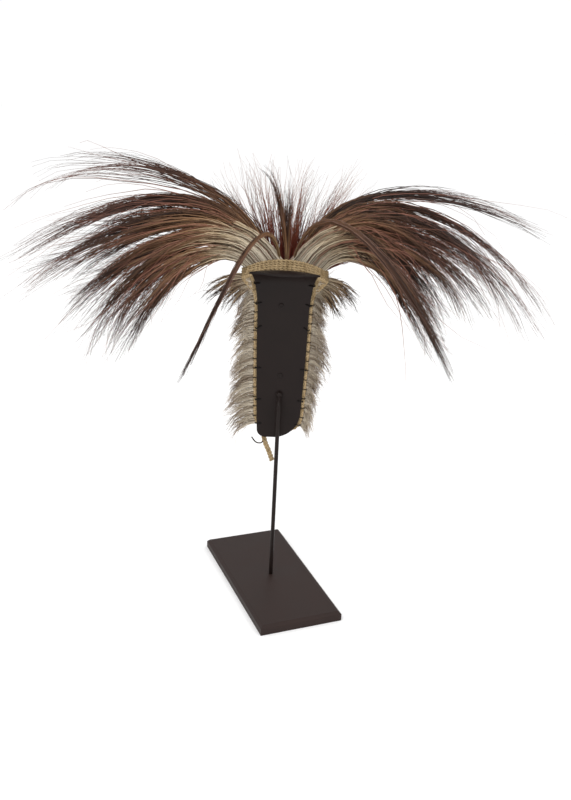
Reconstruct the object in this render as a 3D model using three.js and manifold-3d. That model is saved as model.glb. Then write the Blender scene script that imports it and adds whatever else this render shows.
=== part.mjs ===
// A roach headdress of guard hair on its museum stand: a steel foot, a bent rod that carries a curved
// plate, the tongue-shaped woven base tied to the plate's outer face, and the hair that stands on it.
// Millimetres and degrees, +Z up. The origin is the centre of the foot's underside, and the plate's
// hollow face looks along -Y. Hair is modelled as solids of its outer form.
import * as THREE from 'three';
import { mergeVertices } from 'three/addons/utils/BufferGeometryUtils.js';
import Module from 'manifold-3d';

const wasm = await Module();
wasm.setup();

// Driving dimensions
const GAP = 0.3;
const BASE = { width: 80, length: 164, height: 9.4, chamfer: 2.6, turn: 22.5 };
const ROD = { radius: 1.9, bendHeight: 186.5, bendRun: 5, bendSteps: 5, sides: 14, socketDepth: 6 };
const KNOB = { station: 41, radius: 3, lift: 1.8, sides: 12, rings: 8 };
const RIVET = { radius: 2.2, height: 0.7, sides: 16 };
const RIVETS = {
  rivet_upper: { station: 126, across: -2 },
  rivet_lower: { station: 59, across: 0 },
};

// The plate is a shallow trough. Stations run up its side view from its lower end, in arcs given by
// their length and the lean of the tangent where each ends: 0 is straight up and 90 is along -Y.
const PLATE = { thickness: 1.6, trough: 2.5, troughEnd: 1.25, cornerLeft: 7, cornerRight: 23 };
const LIP = { bulge: 11, start: 130 };
const PLATE_HALF = { tail: 19, waist: 23, waistStation: 120, lip: 30.5, flare: 1.3 };
const PLATE_GRID = { cornerRows: 9, rows: 28, columns: 11 };
const PROFILE_START = { y: 4, z: 154.7, lean: -14 };
const PROFILE_ARCS = [
  { length: 95, lean: 0 },
  { length: 48, lean: 12 },
  { length: 44, lean: 108 },
];
const PLATE_LENGTH = PROFILE_ARCS.reduce((sum, arc) => sum + arc.length, 0);

// The woven base: a mat with a raised rim round it, flared and bulged at its crown end
const MAT = { thickness: 4, border: 3, rimWidth: 5, rimHeight: 8, crownFlare: 9, flareStart: 133 };
const MAT_ENDS = { tail: 5, tailCorner: 15, crown: 163, crownBulge: 7, endWall: 5 };
const MAT_GRID = { wallStep: 0.4, tailRows: 5, rows: 23, crownRows: 3, columns: 11 };
const MAT_OUT = PLATE.thickness + GAP;
const RIM_OUT = MAT_OUT + MAT.thickness + MAT.rimHeight;

// Guard hair. A lock is a cubic Bezier from its root on the crown: it heads one way round from +X,
// reaches so far in plan, and has a height above its root at two shares of its reach and at its tip.
const LIFT_SHARE = 0.15;
const BEND_SHARE = 0.6;
const PLUMES = {
  plume_left: [
    { across: -8, heading: 160, reach: 245, lift: 75, bend: 85, tip: 85 },
    { across: -14, heading: 173, reach: 250, lift: 85, bend: 75, tip: 10 },
    { across: -20, heading: 187, reach: 225, lift: 75, bend: 40, tip: -35 },
    { across: -27, heading: 205, reach: 165, lift: 50, bend: 25, tip: -70 },
    { across: -35, heading: 220, reach: 130, lift: 20, bend: 20, tip: -70 },
  ],
  plume_right: [
    { across: 8, heading: 20, reach: 240, lift: 85, bend: 55, tip: 50 },
    { across: 14, heading: 5, reach: 240, lift: 90, bend: 60, tip: -70 },
    { across: 20, heading: -10, reach: 160, lift: 70, bend: 50, tip: -40 },
    { across: 27, heading: -25, reach: 125, lift: 45, bend: 50, tip: -45 },
    { across: 34, heading: -35, reach: 120, lift: 20, bend: 40, tip: -60 },
  ],
};
const LOCKS = {
  front_lock_left: { across: -5, heading: 235, reach: 135, lift: 75, bend: -20, tip: -80 },
  front_lock_right: { across: 6, heading: -37, reach: 170, lift: 85, bend: 30, tip: -70 },
  centre_tuft: { across: 1, heading: 100, reach: 8, lift: 20, bend: 40, tip: 65 },
};
const PLUME = { half: { root: 2.2, middle: 16, tip: 3 }, steps: 12, columns: 9 };
const LOCK = { half: { root: 2, middle: 5, tip: 1.4 }, steps: 14, sides: 8 };

// Short hair under the plumes, rooted on the sides of the base. Headings here are outwards from the side.
const UNDER_ROWS = [
  { station: 153, heading: 0, reach: 50, lift: 4, bend: 0, tip: -14 },
  { station: 147, heading: -6, reach: 38, lift: 2, bend: -4, tip: -20 },
  { station: 141, heading: -15, reach: 24, lift: 0, bend: -6, tip: -24 },
];
const UNDER = { half: { root: 2.4, middle: 5, tip: 1.5 }, out: 6, steps: 6, columns: 5 };
const UNDER_SIDES = {
  under_fringe_left: { side: -1, reachShare: 1 },
  under_fringe_right: { side: 1, reachShare: 0.85 },
};

// Hair on the back, at stations down the plate: how long it is, how far it tilts up from square to the
// plate, and how much it falls over its length
const CREST_ROWS = [
  { station: 24, length: 56, tilt: 6 },
  { station: 90, length: 84, tilt: 12 },
  { station: 130, length: 104, tilt: 14 },
  { station: 148, length: 112, tilt: 4 },
];
const INNER_ROWS = [
  { station: 30, length: 34, tilt: 8 },
  { station: 90, length: 50, tilt: 12 },
  { station: 130, length: 64, tilt: 22 },
  { station: 152, length: 74, tilt: 38 },
];
const CREST_HALF = { root: 2, middle: 7, tip: 2 };
const BACK_HAIR = {
  inner_hair: { half: { root: 11, middle: 17, tip: 13 }, side: 0, fall: 6, rows: INNER_ROWS },
  crest_left: { half: CREST_HALF, side: -1, fall: 26, rows: CREST_ROWS },
  crest_right: { half: CREST_HALF, side: 1, fall: 26, rows: CREST_ROWS },
};
const BACK = { spread: 0.16, steps: 6, columns: 11 };

// How far each side fringe reaches out from the rim, at stations along the plate
const FRINGE_REACH = [
  { station: 16, left: 22, right: 6 },
  { station: 30, left: 28, right: 10 },
  { station: 60, left: 28, right: 15 },
  { station: 85, left: 26, right: 22 },
  { station: 110, left: 28, right: 14 },
  { station: 130, left: 14, right: 14 },
];
const FRINGE = { rootLow: 3, rootHigh: 12, tipLow: 8, tipHigh: 12, droop: 11, rows: 18, steps: 4 };

// The tail cord's route, chosen by hand, from behind the plate's lower end
const TAIL_ROUTE = [[-11, 12.5, 158], [-12.5, 11.5, 152], [-11, 9.5, 146], [-7.5, 7.5, 139], [-4, 6, 130]];
const TAIL = { radius: 2.5, sides: 8 };

const FINISHES = {
  footPaint: { color: 0x2b2423, roughness: 0.6, metalness: 0 },
  platePaint: { color: 0x2b2423, roughness: 0.45, metalness: 0 },
  tanFibre: { color: 0xb89c6c, roughness: 0.9, metalness: 0 },
  brownHair: { color: 0x5a3a28, roughness: 0.6, metalness: 0 },
  redHair: { color: 0x6a2a18, roughness: 0.7, metalness: 0 },
  paleHair: { color: 0xa89c88, roughness: 0.8, metalness: 0 },
};

const { lerp, degToRad, smoothstep } = THREE.MathUtils;
const vector = ([x, y, z]) => new THREE.Vector3(x, y, z);
const range = (count, from, to) => (
  Array.from({ length: count }, (_, i) => lerp(from, to, i / (count - 1))));

// A table's value between its rows
function fromTable(rows, key, station) {
  const after = rows.findIndex((row) => row.station >= station);
  if (after === 0) return rows[0][key];
  if (after < 0) return rows.at(-1)[key];
  const [low, high] = [rows[after - 1], rows[after]];
  return lerp(low[key], high[key], (station - low.station) / (high.station - low.station));
}

// The side view's point and lean at a station
function profileAt(station) {
  let { y, z } = PROFILE_START;
  let lean = degToRad(PROFILE_START.lean);
  let left = station;
  PROFILE_ARCS.forEach((arc, i) => {
    const radius = arc.length / (degToRad(arc.lean) - lean);
    const run = i === PROFILE_ARCS.length - 1 ? left : Math.min(left, arc.length);
    const end = lean + run / radius;
    y += radius * (Math.cos(end) - Math.cos(lean));
    z += radius * (Math.sin(end) - Math.sin(lean));
    lean = end;
    left -= run;
  });
  return { y, z, lean };
}

// Half width of the plate: it rounds out from the tail to the waist and flares from there to the lip
function plateHalf(station) {
  const { tail, waist, waistStation, lip, flare } = PLATE_HALF;
  if (station < waistStation) {
    return lerp(tail, waist, Math.sin((Math.PI / 2) * (station / waistStation)));
  }
  return lerp(waist, lip, ((station - waistStation) / (PLATE_LENGTH - waistStation)) ** flare);
}

// The point at a station, across the width and out from the plate's hollow face. The plate's edges
// stand nearer to -Y than its centre line.
function onPlate(station, across, out) {
  const { y, z, lean } = profileAt(station);
  const share = Math.min(Math.abs(across) / plateHalf(station), PLATE.troughEnd);
  const depth = out - PLATE.trough * share ** 2;
  return new THREE.Vector3(across, y + depth * Math.cos(lean), z + depth * Math.sin(lean));
}

// A closed geometry from points and triangles, turned so that its faces point out
function closed(points, triangles) {
  const volume = triangles.reduce((sum, [a, b, c]) => (
    sum + points[a].dot(new THREE.Vector3().crossVectors(points[b], points[c]))), 0);
  const facing = volume > 0 ? triangles : triangles.map(([a, b, c]) => [a, c, b]);
  const geometry = new THREE.BufferGeometry().setFromPoints(points);
  geometry.setIndex(facing.flat());
  return geometry;
}

// A slab between two grids of points of the same size
function slab(inner, outer) {
  const [rows, columns] = [inner.length, inner[0].length];
  const at = (layer, row, column) => (layer * rows + row) * columns + column;
  const triangles = [];
  const quad = (a, b, c, d) => triangles.push([a, b, c], [a, c, d]);
  for (let row = 0; row < rows - 1; row++) {
    for (let column = 0; column < columns - 1; column++) {
      const [r, c] = [row + 1, column + 1];
      quad(at(0, row, column), at(0, r, column), at(0, r, c), at(0, row, c));
      quad(at(1, row, column), at(1, row, c), at(1, r, c), at(1, r, column));
    }
    quad(at(0, row, 0), at(1, row, 0), at(1, row + 1, 0), at(0, row + 1, 0));
    const end = columns - 1;
    quad(at(0, row, end), at(0, row + 1, end), at(1, row + 1, end), at(1, row, end));
  }
  for (let column = 0; column < columns - 1; column++) {
    quad(at(0, 0, column), at(0, 0, column + 1), at(1, 0, column + 1), at(1, 0, column));
    const end = rows - 1;
    quad(at(0, end, column), at(1, end, column), at(1, end, column + 1), at(0, end, column + 1));
  }
  return closed([...inner.flat(), ...outer.flat()], triangles);
}

// A solid skinned over closed rings of points, its two ends closed at their middles
function stack(rings) {
  const sides = rings[0].length;
  const points = rings.flat();
  const middle = (ring) => ring.reduce((sum, p) => sum.add(p), new THREE.Vector3()).divideScalar(sides);
  const last = points.length - sides;
  points.push(middle(rings[0]), middle(rings.at(-1)));
  const triangles = [];
  for (let side = 0; side < sides; side++) {
    const next = (side + 1) % sides;
    triangles.push([points.length - 2, next, side], [points.length - 1, last + side, last + next]);
    for (let start = 0; start < last; start += sides) {
      const [a, b] = [start + side, start + next];
      triangles.push([a, b, b + sides], [a, b + sides, a + sides]);
    }
  }
  return closed(points, triangles);
}

// A round bar through points, with a radius for each place along it from 0 to 1
function bar(path, radiusAt, sides) {
  const tangents = path.map((_, i) => (
    path[Math.min(i + 1, path.length - 1)].clone().sub(path[Math.max(i - 1, 0)]).normalize()));
  const spoke = new THREE.Vector3(1, 0, 0).cross(tangents[0]).normalize();
  const rings = path.map((centre, i) => {
    if (i > 0) {
      spoke.applyQuaternion(new THREE.Quaternion().setFromUnitVectors(tangents[i - 1], tangents[i]));
    }
    return range(sides + 1, 0, 2 * Math.PI).slice(0, sides).map((angle) => (
      spoke.clone().applyAxisAngle(tangents[i], angle)
        .multiplyScalar(radiusAt(i / (path.length - 1))).add(centre)));
  });
  return stack(rings);
}

function toSolid(geometry) {
  const bare = geometry.clone();
  bare.deleteAttribute('normal');
  bare.deleteAttribute('uv');
  const merged = mergeVertices(bare, 1e-4);
  return new wasm.Manifold(new wasm.Mesh({
    numProp: 3,
    vertProperties: Float32Array.from(merged.attributes.position.array),
    triVerts: Uint32Array.from(merged.index.array),
  }));
}

function fromSolid(solid) {
  const { vertProperties, triVerts } = solid.getMesh();
  const geometry = new THREE.BufferGeometry();
  geometry.setAttribute('position', new THREE.BufferAttribute(vertProperties, 3));
  geometry.setIndex(new THREE.BufferAttribute(triVerts, 1));
  return geometry;
}

const joined = (...parts) => fromSolid(parts.map(toSolid).reduce((sum, part) => sum.add(part)));
const cut = (part, ...tools) => (
  fromSolid(tools.map(toSolid).reduce((rest, tool) => rest.subtract(tool), toSolid(part))));

// Stand

function standBase() {
  const { width, length, height, chamfer } = BASE;
  const ring = (inset, z) => [[-1, -1], [1, -1], [1, 1], [-1, 1]].map(([x, y]) => (
    new THREE.Vector3(x * (width / 2 - inset), y * (length / 2 - inset), z)));
  const block = stack([ring(0, 0), ring(0, height - chamfer), ring(chamfer, height)]);
  const bottom = height - ROD.socketDepth - GAP;
  const socket = bar([vector([0, 0, bottom]), vector([0, 0, height + 1])],
    () => ROD.radius + GAP, ROD.sides);
  socket.rotateZ(-degToRad(BASE.turn));
  return cut(block, socket);
}

const knobCentre = () => onPlate(KNOB.station, 0, -KNOB.lift);

function rodPath() {
  const bend = vector([0, 0, ROD.bendHeight]);
  const below = vector([0, 0, ROD.bendHeight - ROD.bendRun]);
  const beyond = bend.clone().add(knobCentre().sub(bend).setLength(ROD.bendRun));
  const elbow = new THREE.QuadraticBezierCurve3(below, bend, beyond).getPoints(ROD.bendSteps);
  return [vector([0, 0, BASE.height - ROD.socketDepth]), ...elbow, knobCentre()];
}

// The plate's edge at a station and a side: straight down its sides and round at its lower corners
function plateEdge(station, side) {
  const radius = side < 0 ? PLATE.cornerLeft : PLATE.cornerRight;
  const into = Math.max(radius - station, 0);
  return side * (plateHalf(station) - radius + Math.sqrt(radius ** 2 - into ** 2));
}

function mount() {
  const { cornerRows, rows, columns } = PLATE_GRID;
  const above = PLATE.cornerRight + (PLATE_LENGTH - PLATE.cornerRight) / rows;
  const stations = [...range(cornerRows, 0, PLATE.cornerRight), ...range(rows, above, PLATE_LENGTH)];
  const face = (out) => stations.map((station) => range(columns, 0, 1).map((share) => {
    const across = lerp(plateEdge(station, -1), plateEdge(station, 1), share);
    const bulge = LIP.bulge * smoothstep(station, LIP.start, PLATE_LENGTH);
    return onPlate(station - bulge * (across / plateHalf(station)) ** 2, across, out);
  }));
  const knob = new THREE.SphereGeometry(KNOB.radius, KNOB.sides, KNOB.rings);
  knob.translate(...knobCentre().toArray());
  const rod = bar(rodPath(), () => ROD.radius, ROD.sides);
  return joined(slab(face(0), face(PLATE.thickness)), rod, knob);
}

// A domed rivet head on the plate's hollow face
function rivet({ station, across }) {
  const { radius, height, sides } = RIVET;
  const dome = range(4, 0, Math.PI / 2).map((angle) => (
    new THREE.Vector2(radius * Math.cos(angle), height * Math.sin(angle))));
  const head = new THREE.LatheGeometry([new THREE.Vector2(0, 0), ...dome], sides);
  const seat = onPlate(station, across, -GAP);
  const outward = onPlate(station, across, -GAP - 1).sub(seat);
  head.applyQuaternion(new THREE.Quaternion().setFromUnitVectors(vector([0, 1, 0]), outward));
  return head.translate(...seat.toArray());
}

// Woven base

// Half width of the mat: the plate's and its border, round at the tail's corners, flared at the crown
function matHalf(station) {
  const corner = MAT_ENDS.tailCorner;
  const into = Math.max(MAT_ENDS.tail + corner - station, 0);
  const flare = MAT.crownFlare * smoothstep(station, MAT.flareStart, MAT_ENDS.crown);
  const full = plateHalf(station) + MAT.border + flare;
  return full - corner + Math.sqrt(Math.max(corner ** 2 - into ** 2, 0));
}

// The station of the mat's crown end, or of a line set in from it, at a place across
const crownLine = (across, inset) => (
  MAT_ENDS.crown - inset - MAT_ENDS.crownBulge * (across / matHalf(MAT_ENDS.crown)) ** 2);

function wovenBase(grow) {
  const { endWall, tail, crown, crownBulge } = MAT_ENDS;
  const { wallStep, tailRows, rows: floorRows, crownRows, columns: floorColumns } = MAT_GRID;
  const [floorStart, floorEnd] = [tail + endWall, crown - endWall];
  const rows = [...range(tailRows, tail - grow, floorStart),
    ...range(floorRows, floorStart + wallStep, floorEnd - wallStep),
    ...range(crownRows, floorEnd, crown + grow)];
  const face = (outAt) => rows.map((row) => {
    const half = matHalf(row) + grow;
    const wall = matHalf(row) - MAT.rimWidth - grow;
    const floor = range(floorColumns, wallStep - wall, wall - wallStep);
    const bulge = crownBulge * smoothstep(row, MAT.flareStart, crown);
    return [-half, -wall, ...floor, wall, half].map((across) => {
      const inWall = row <= floorStart || row >= floorEnd || Math.abs(across) >= wall;
      return onPlate(row - bulge * (across / half) ** 2, across, outAt(inWall));
    });
  });
  const top = (inWall) => (inWall ? RIM_OUT : MAT_OUT + MAT.thickness) + grow;
  return slab(face(() => MAT_OUT - grow), face(top));
}

// Hair

// A half thickness that bows from the root through the middle to the tip
const bow = ({ root, middle, tip }, u) => (1 - u) ** 2 * root + 2 * (1 - u) * u * middle + u ** 2 * tip;

// The curve between the guides of a fan, at a place v from the first guide to the last
function guideAt(guides, v) {
  const handles = [0, 1, 2, 3].map((k) => (
    new THREE.CatmullRomCurve3(guides.map((guide) => guide[k])).getPoint(v)));
  return new THREE.CubicBezierCurve3(...handles);
}

// A fan of hair skinned over guide curves. Its edges are thinner than its middle.
function hairFan(guides, { half, steps, columns }) {
  const grid = range(columns, 0, 1).map((v) => guideAt(guides, v).getSpacedPoints(steps));
  const face = (side) => grid.map((strand, column) => strand.map((point, step) => {
    const along = strand[Math.min(step + 1, steps)].clone().sub(strand[Math.max(step - 1, 0)]);
    const [before, after] = [Math.max(column - 1, 0), Math.min(column + 1, columns - 1)];
    const beside = grid[after][step].clone().sub(grid[before][step]);
    const edge = Math.sin(Math.PI * lerp(0.2, 0.8, column / (columns - 1)));
    return along.cross(beside).setLength(side * bow(half, step / steps) * edge).add(point);
  }));
  return slab(face(-1), face(1));
}

// A lock's four handles from its root, heading out and turning over
function lockHandles(root, { heading, reach, lift, bend, tip }) {
  const out = vector([Math.cos(degToRad(heading)), Math.sin(degToRad(heading)), 0]);
  const at = (share, height) => root.clone().addScaledVector(out, share * reach).setZ(root.z + height);
  return [root, at(LIFT_SHARE, lift), at(BEND_SHARE, bend), at(1, tip)];
}

// A lock that is rooted on the front stretch of the bound rim
const crownLock = (lock) => (
  lockHandles(onPlate(crownLine(lock.across, MAT.rimWidth / 2), lock.across, RIM_OUT), lock));

const lockBar = (lock, grow = 0) => bar(
  new THREE.CubicBezierCurve3(...crownLock(lock)).getSpacedPoints(LOCK.steps),
  (u) => bow(LOCK.half, u) + grow, LOCK.sides);

function underFringe({ side, reachShare }) {
  const guides = UNDER_ROWS.map((row) => {
    const heading = side > 0 ? row.heading : 180 - row.heading;
    const root = onPlate(row.station, side * matHalf(row.station), UNDER.out);
    return lockHandles(root, { ...row, heading, reach: row.reach * reachShare });
  });
  return hairFan(guides, UNDER);
}

// A side fringe stands out from the mat's edge and droops towards the tail
function fringe(side) {
  const key = side < 0 ? 'left' : 'right';
  const { rootLow, rootHigh, tipLow, tipHigh, droop, rows, steps } = FRINGE;
  const stations = range(rows, FRINGE_REACH[0].station, FRINGE_REACH.at(-1).station);
  const face = (root, tip) => stations.map((station) => range(steps, 0, 1).map((share) => {
    const across = matHalf(station) + 2 * GAP + share * fromTable(FRINGE_REACH, key, station);
    return onPlate(station - droop * share ** 2, side * across, lerp(root, tip, share));
  }));
  return slab(face(rootLow, tipLow), face(rootHigh, tipHigh));
}

// Hair on the back stands off the mat or the side rims, tilted up from square and falling at its tips
function backHair({ half, side, fall, rows }) {
  const guides = rows.map(({ station, length, tilt }) => {
    const across = side * (matHalf(station) - MAT.rimWidth / 2);
    const root = onPlate(station, across, (side ? RIM_OUT : MAT_OUT + MAT.thickness) + GAP);
    const angle = profileAt(station).lean + degToRad(tilt);
    const along = vector([side * BACK.spread, Math.cos(angle), Math.sin(angle)]).normalize();
    const at = (share) => root.clone().addScaledVector(along, share * length)
      .add(vector([0, 0, -fall * share ** 2]));
    return [root, at(1 / 3), at(2 / 3), at(1)];
  });
  return hairFan(guides, { half, steps: BACK.steps, columns: BACK.columns });
}

const tailBraid = () => bar(TAIL_ROUTE.map(vector), () => TAIL.radius, TAIL.sides);

const group = new THREE.Group();

function add(name, geometry, finish) {
  const mesh = new THREE.Mesh(geometry, new THREE.MeshStandardMaterial(finish));
  mesh.name = name;
  group.add(mesh);
  return mesh;
}

add('stand_base', standBase(), FINISHES.footPaint).rotation.z = degToRad(BASE.turn);
add('mount', mount(), FINISHES.platePaint);
for (const [name, place] of Object.entries(RIVETS)) {
  add(name, rivet(place), FINISHES.platePaint);
}
add('woven_base', wovenBase(0), FINISHES.tanFibre);
add('fringe_left', fringe(-1), FINISHES.paleHair);
add('fringe_right', fringe(1), FINISHES.paleHair);
const clearOfBase = wovenBase(GAP);
for (const [name, locks] of Object.entries(PLUMES)) {
  const fan = hairFan(locks.map(crownLock), PLUME);
  const clearOfLocks = Object.values(LOCKS).map((lock) => lockBar(lock, GAP));
  add(name, cut(fan, clearOfBase, ...clearOfLocks), FINISHES.brownHair);
}
for (const [name, lock] of Object.entries(LOCKS)) {
  add(name, cut(lockBar(lock), clearOfBase), FINISHES.brownHair);
}
for (const [name, side] of Object.entries(UNDER_SIDES)) {
  add(name, cut(underFringe(side), clearOfBase), FINISHES.brownHair);
}
for (const [name, row] of Object.entries(BACK_HAIR)) {
  add(name, cut(backHair(row), clearOfBase), row.side ? FINISHES.brownHair : FINISHES.redHair);
}
add('tail_braid', tailBraid(), FINISHES.tanFibre);

export default group;
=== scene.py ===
# A roach headdress on its museum stand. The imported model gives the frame; this script makes the hair,
# the twined base, the ties and the finish of every surface, with the light and the camera.
import math

import bmesh
import bpy
import numpy as np
from mathutils import Matrix, Vector


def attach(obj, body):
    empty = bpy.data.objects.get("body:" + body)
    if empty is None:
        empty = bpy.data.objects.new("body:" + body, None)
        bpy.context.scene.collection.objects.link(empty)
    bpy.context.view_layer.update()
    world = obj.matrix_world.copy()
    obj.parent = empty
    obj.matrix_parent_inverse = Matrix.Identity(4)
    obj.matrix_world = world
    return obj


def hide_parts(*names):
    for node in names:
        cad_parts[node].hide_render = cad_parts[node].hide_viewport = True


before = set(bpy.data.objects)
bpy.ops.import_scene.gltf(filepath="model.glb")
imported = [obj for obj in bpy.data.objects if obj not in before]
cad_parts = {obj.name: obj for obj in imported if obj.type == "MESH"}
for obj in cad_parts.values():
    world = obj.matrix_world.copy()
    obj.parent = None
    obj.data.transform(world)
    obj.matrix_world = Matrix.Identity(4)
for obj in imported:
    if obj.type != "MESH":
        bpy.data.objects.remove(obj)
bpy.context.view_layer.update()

# Sizes are in millimetres, which MM makes metres where Blender takes them, and angles are in degrees
MM = 0.001
# The photograph's height and the camera's focal length in its pixels, and the camera's place and tilt,
# which give the photograph's viewing angle
PHOTO = {"height": 800, "focal_px": 986}
SENSOR_MM = 36
CAMERA = {"place": (6, -835, 535), "down": 22.2, "roll": -2.9}

# The stand and the base, as the frame's solids are
GAP = 0.3
FOOT = {"width": 80, "length": 164, "height": 9.4, "chamfer": 2.6, "turn": 22.5}
ROD = {"radius": 1.9, "bend_height": 186.5, "bend_run": 5, "foot": 3.4}
KNOB = {"station": 41, "radius": 3, "lift": 1.8}
PLATE = {"thickness": 1.6, "trough": 2.5, "trough_end": 1.25, "corner_left": 7, "corner_right": 23}
LIP = {"bulge": 11, "start": 130}
PLATE_HALF = {"tail": 19, "waist": 23, "waist_station": 120, "lip": 30.5, "flare": 1.3}
PROFILE_START = {"y": 4, "z": 154.7, "lean": -14}
PROFILE_ARCS = [(95, 0), (48, 12), (44, 108)]
PLATE_LENGTH = sum(length for length, lean in PROFILE_ARCS)
MAT = {"thickness": 4, "border": 3, "rim_width": 5, "rim_height": 8, "flare": 9, "flare_start": 133}
MAT_ENDS = {"tail": 5, "corner": 15, "crown": 163, "bulge": 7}
MAT_OUT = PLATE["thickness"] + GAP
RIM_OUT = MAT_OUT + MAT["thickness"] + MAT["rim_height"]

# The side fringes, close to the frame's: how far they reach from the base's edge at stations up the
# plate, how far out from the plate their two faces lie at root and tip, and how they droop
FRINGE_REACH = {
    "station": [12, 30, 60, 85, 110, 130, 156],
    "left": [24, 30, 26, 24, 26, 17, 14],
    "right": [8, 12, 15, 24, 16, 16, 14],
}
FRINGE = {"root_low": 3, "root_high": 12, "tip_low": 6, "tip_high": 13, "droop": 22, "bend": 1.9}
# Near the crown the fringe starts in front of the mat's flare: how much of the flare it covers, and
# how far forward it comes
FRINGE_TOP = {"cover": 0.8, "forward": 4}

# The guard hair's guide locks, as the frame has them: the root's place across the crown, the heading
# round from +X, the reach in plan, and the heights above the root at two shares of it and at the tip
LIFT_SHARE, BEND_SHARE = 0.15, 0.6
PLUMES = {
    "plume_left": [
        (-8, 160, 245, 75, 85, 85), (-14, 173, 250, 85, 75, 10), (-20, 187, 225, 75, 40, -35),
        (-27, 205, 165, 50, 25, -70), (-35, 220, 130, 20, 20, -70),
    ],
    "plume_right": [
        (8, 20, 240, 85, 55, 50), (14, 5, 240, 90, 60, -70), (20, -10, 160, 70, 50, -40),
        (27, -25, 125, 45, 50, -45), (34, -35, 120, 20, 40, -60),
    ],
}
# The share of each plume's width, from its top, where the hair is thin
THIN_EDGE = {"plume_left": 0.32, "plume_right": 0.18}
# The pale rooted front rows of the plumes, which arc lower, as locks too
FRONT_ROWS = {
    "plume_left": [
        (-2, 176, 205, 48, 50, -15), (-12, 188, 190, 46, 38, -45), (-24, 203, 165, 38, 25, -65),
        (-35, 220, 130, 20, 20, -70),
    ],
    "plume_right": [
        (3, 3, 200, 48, 55, -45), (13, -10, 165, 46, 45, -45), (24, -24, 130, 38, 40, -50),
        (34, -35, 120, 20, 40, -60),
    ],
}
LOCKS = {
    "front_lock_left": (-5, 235, 135, 75, -20, -80),
    "front_lock_right": (6, -37, 170, 85, 30, -70),
    "centre_tuft": (1, 100, 8, 20, 40, 65),
}
# The short hair under the plumes, as locks from stations up the base's sides, with the heading taken
# outwards from the side. It falls lower than the frame's. Then each side, and its share of the reach
UNDER_ROWS = [(153, 0, 46, 4, -2, -26), (147, -6, 36, 2, -8, -30), (141, -15, 24, 0, -10, -30)]
UNDER_SIDES = {"under_fringe_left": (-1, 1), "under_fringe_right": (1, 0.85)}
UNDER_OUT = 6
# Hair on the back at stations up the plate: station, length, tilt up from square
INNER_ROWS = [(30, 34, 8), (90, 50, 12), (130, 64, 22), (152, 74, 38)]
CREST_ROWS = [(24, 56, 6), (90, 84, 12), (130, 104, 14), (148, 112, 4)]
CREST_SPREAD = 0.16
CREST_FALL, INNER_FALL = 26, 6
# Thin hair that stands behind the crown and leans outwards from the middle, and how far its roots lie
# from the crown's
BRISTLES = {"half": 34, "lean": 62, "length": 106, "back": 0.3, "fall": 6, "guides": 7}
BRISTLE_ROOT = (0, 3, -2)
# Half thickness of the hair at its roots, its middle and its tips
PLUME_HALF, UNDER_HALF, BRISTLE_HALF = (1.8, 9, 7), (2.4, 5, 1.5), (4, 9, 10)
PLUME_BACK = 4
INNER_HALF, CREST_HALF = (11, 17, 13), (2, 7, 2)
LOCK_RADII = {
    "front_lock_left": (0.8, 2, 2.4), "front_lock_right": (0.8, 2.2, 2.4), "centre_tuft": (1.2, 2.4, 5),
}
# A lock's strands, and the shortest of them as a share of the longest
LOCK_STRANDS = {"front_lock_left": 230, "front_lock_right": 230, "centre_tuft": 100}
LOCK_SHORTEST = {"front_lock_left": 0.6, "front_lock_right": 0.6, "centre_tuft": 0.15}
# A wisp that curls away from the tuft to the left, as a lock
TUFT_WISP, TUFT_WISP_RADII = (1, 180, 38, 70, 85, 80), (0.6, 2, 4)
FAN_ROWS, FAN_COLUMNS = 61, 41

# How strands gather: the shares of their length over which they close up into wisps and locks, the
# least that any of them does, where in its place a lock's middle lies, and how far depth goes with it
WISP_CLOSES, LOCK_CLOSES = (0.05, 0.75), (0.1, 0.8)
LEAST_HOLD = 0.6
LOCK_MIDDLE = (0.36, 0.64)
DEPTH_SHARED = 0.85
# A wisp's wander as a share of its lock's, and how far apart in the noise two numbers sway
WISP_WANDER = 0.35
SWAY_APART = 3.71
# Places on a fan stay just inside its edges, where it can be sampled
ON_FAN = (0.001, 0.999)
# Past the thin share of the roots, where the darker hair starts to fade and where it is gone
DARK_FADES = (0.1, 0.6)
# How far a strand's colour goes by its own length and not by its place on the fan, and how far its
# tone goes by its wisp's
COLOUR_BY_STRAND, TONE_BY_WISP = 0.4, 0.6
# A strand's range of thickness as shares of its radius, where it starts to taper, and its sides
THICKNESS = (0.7, 1.3)
TAPER_START = 0.5
STRAND_SIDES = 3
# How far a strand's tone moves its colours along it, and how much a stray takes its own colour
TONE_SHIFT = 0.14
STRAY_SHARE = 0.6

# The tail cord's route, as in the frame, its plait, and the thong tied to it
TAIL_ROUTE = [(-11, 12.5, 158), (-12.5, 11.5, 152), (-11, 9.5, 146), (-7.5, 7.5, 139), (-4, 6, 130)]
PLAIT = {"strand": 1.1, "across": 1.4, "over": 0.75, "pitch": 10, "sides": 10, "rings": 90}
THONG_ROUTE = [(-24, 8, 152), (-20, 8, 147), (-15, 9, 146), (-12, 10, 150)]
THONG = {"radius": 0.6, "steps": 30, "sides": 10}

# The twined base: cords laid in rings from its edge inwards, stacked into a rim round the outside
CORD = {"radius": 1.3, "twist": 7.5, "spacing": 1.2, "sides": 8, "flat": 0.22, "apart": 2.5}
RIM_ROWS = 5
FLOOR_CORDS = 8
# Dark stitches round the edge cord, which go past half a turn by so many radians, and the ties that
# hold the base to the plate at both its sides
STITCH = {"apart": 9, "radius": 0.4, "past": 0.2, "steps": 9, "sides": 6}
TIE = {"radius": 0.55, "inset": 4, "rise": 0.7, "over": 1.2, "steps": 14, "sides": 8}
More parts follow.
